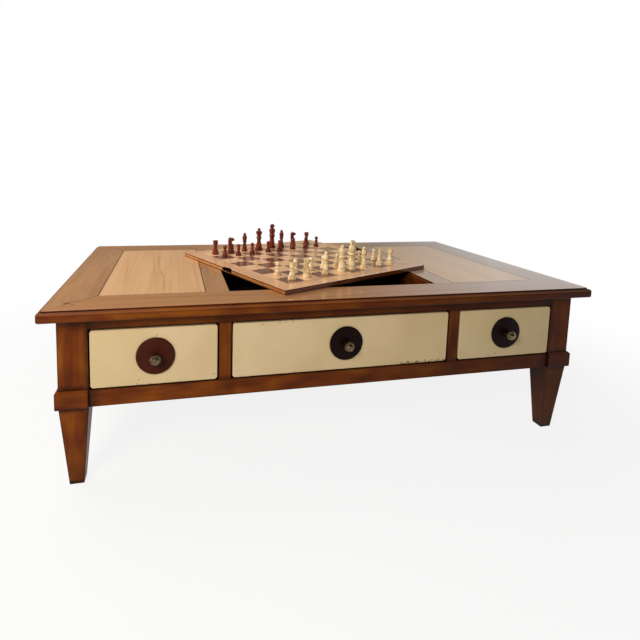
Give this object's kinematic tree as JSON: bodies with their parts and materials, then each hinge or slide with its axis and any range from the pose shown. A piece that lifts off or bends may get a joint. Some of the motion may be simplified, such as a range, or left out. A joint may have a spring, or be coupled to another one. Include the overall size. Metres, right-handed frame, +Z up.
{
  "type": "chess table with inlaid board",
  "caption": "Low rectangular wooden table with drawers and a storage well under a lift-out inlaid chess board, with its chessmen, on square tapered legs.",
  "frame": {"origin": "on the floor, under the middle of the table top", "axes": "+X along the table's length to the right as one faces the drawers, +Y towards the back, +Z up"},
  "size_m": [1.212, 0.68, 0.455],
  "materials": {
    "stained_cherry": "satin wax over a red-brown stain, edges rubbed dark",
    "cherry_top": "semi-gloss varnish over a honey stain, edges rubbed dark",
    "pale_panel": "semi-gloss varnish over pale straight-grained wood",
    "cream_paint": "cream eggshell paint, rubbed through at the edges",
    "rosette": "turned wood, dark red-brown stain, satin",
    "aged_brass": "aged brass, dark in the hollows",
    "carcass_wood": "unfinished secondary wood",
    "well_lining": "dark stained wood",
    "steel": "zinc-plated",
    "board_core": "plywood",
    "board_edging": "semi-gloss varnished maple with dark arrises",
    "light_square": "semi-gloss varnished maple veneer",
    "dark_square": "semi-gloss varnished walnut veneer",
    "boxwood": "polished boxwood",
    "rosewood": "polished red-brown stained boxwood"
  },
  "bodies": {
    "table": {"leg_front_left": "stained_cherry", "leg_front_right": "stained_cherry", "leg_back_left": "stained_cherry", "leg_back_right": "stained_cherry", "leg_collars": "stained_cherry", "front_top_rail": "stained_cherry", "front_bottom_rail": "stained_cherry", "drawer_dividers": "stained_cherry", "side_aprons": "stained_cherry", "back_apron": "stained_cherry", "partitions": "carcass_wood", "drawer_runners": "carcass_wood", "drawer_kickers": "carcass_wood", "drawer_stops": "carcass_wood", "board_bearers": "carcass_wood", "corner_blocks": "carcass_wood", "well_walls": "well_lining", "well_floor": "well_lining", "top_screws": "steel", "top_member_front": "cherry_top", "top_member_back": "cherry_top", "top_member_left": "cherry_top", "top_member_right": "cherry_top", "top_cross_rails": "cherry_top", "inset_panel_left": "pale_panel", "inset_panel_right": "pale_panel"},
    "left_drawer": {"left_drawer_front": "cream_paint", "left_drawer_sides": "carcass_wood", "left_drawer_back": "carcass_wood", "left_drawer_bottom": "carcass_wood", "left_rosette": "rosette", "left_knob": "aged_brass"},
    "middle_drawer": {"middle_drawer_front": "cream_paint", "middle_drawer_sides": "carcass_wood", "middle_drawer_back": "carcass_wood", "middle_drawer_bottom": "carcass_wood", "middle_rosette": "rosette", "middle_knob": "aged_brass"},
    "right_drawer": {"right_drawer_front": "cream_paint", "right_drawer_sides": "carcass_wood", "right_drawer_back": "carcass_wood", "right_drawer_bottom": "carcass_wood", "right_rosette": "rosette", "right_knob": "aged_brass"},
    "board": {"board_core": "board_core", "board_edging": "board_edging", "light_squares": "light_square", "dark_squares": "dark_square"},
    "light_chessmen": {"light_pawns": "boxwood", "light_rooks": "boxwood", "light_knights": "boxwood", "light_bishops": "boxwood", "light_queen": "boxwood", "light_king": "boxwood"},
    "dark_chessmen": {"dark_pawns": "rosewood", "dark_rooks": "rosewood", "dark_knights": "rosewood", "dark_bishops": "rosewood", "dark_queen": "rosewood", "dark_king": "rosewood"}
  },
  "joints": [
    {"name": "left_drawer_slide", "type": "slide", "parent": "table", "child": "left_drawer", "axis": [0, -1, 0], "range_m": [0, 0.38]},
    {"name": "middle_drawer_slide", "type": "slide", "parent": "table", "child": "middle_drawer", "axis": [0, -1, 0], "range_m": [0, 0.38]},
    {"name": "right_drawer_slide", "type": "slide", "parent": "table", "child": "right_drawer", "axis": [0, -1, 0], "range_m": [0, 0.38]},
    {"name": "board_lift", "type": "slide", "parent": "table", "child": "board", "axis": [0, 0, 1], "range_m": [0, 0.12]},
    {"name": "light_chessmen_lift", "type": "slide", "parent": "board", "child": "light_chessmen", "axis": [0, 0, 1], "range_m": [0, 0.1]},
    {"name": "dark_chessmen_lift", "type": "slide", "parent": "board", "child": "dark_chessmen", "axis": [0, 0, 1], "range_m": [0, 0.1]}
  ]
}
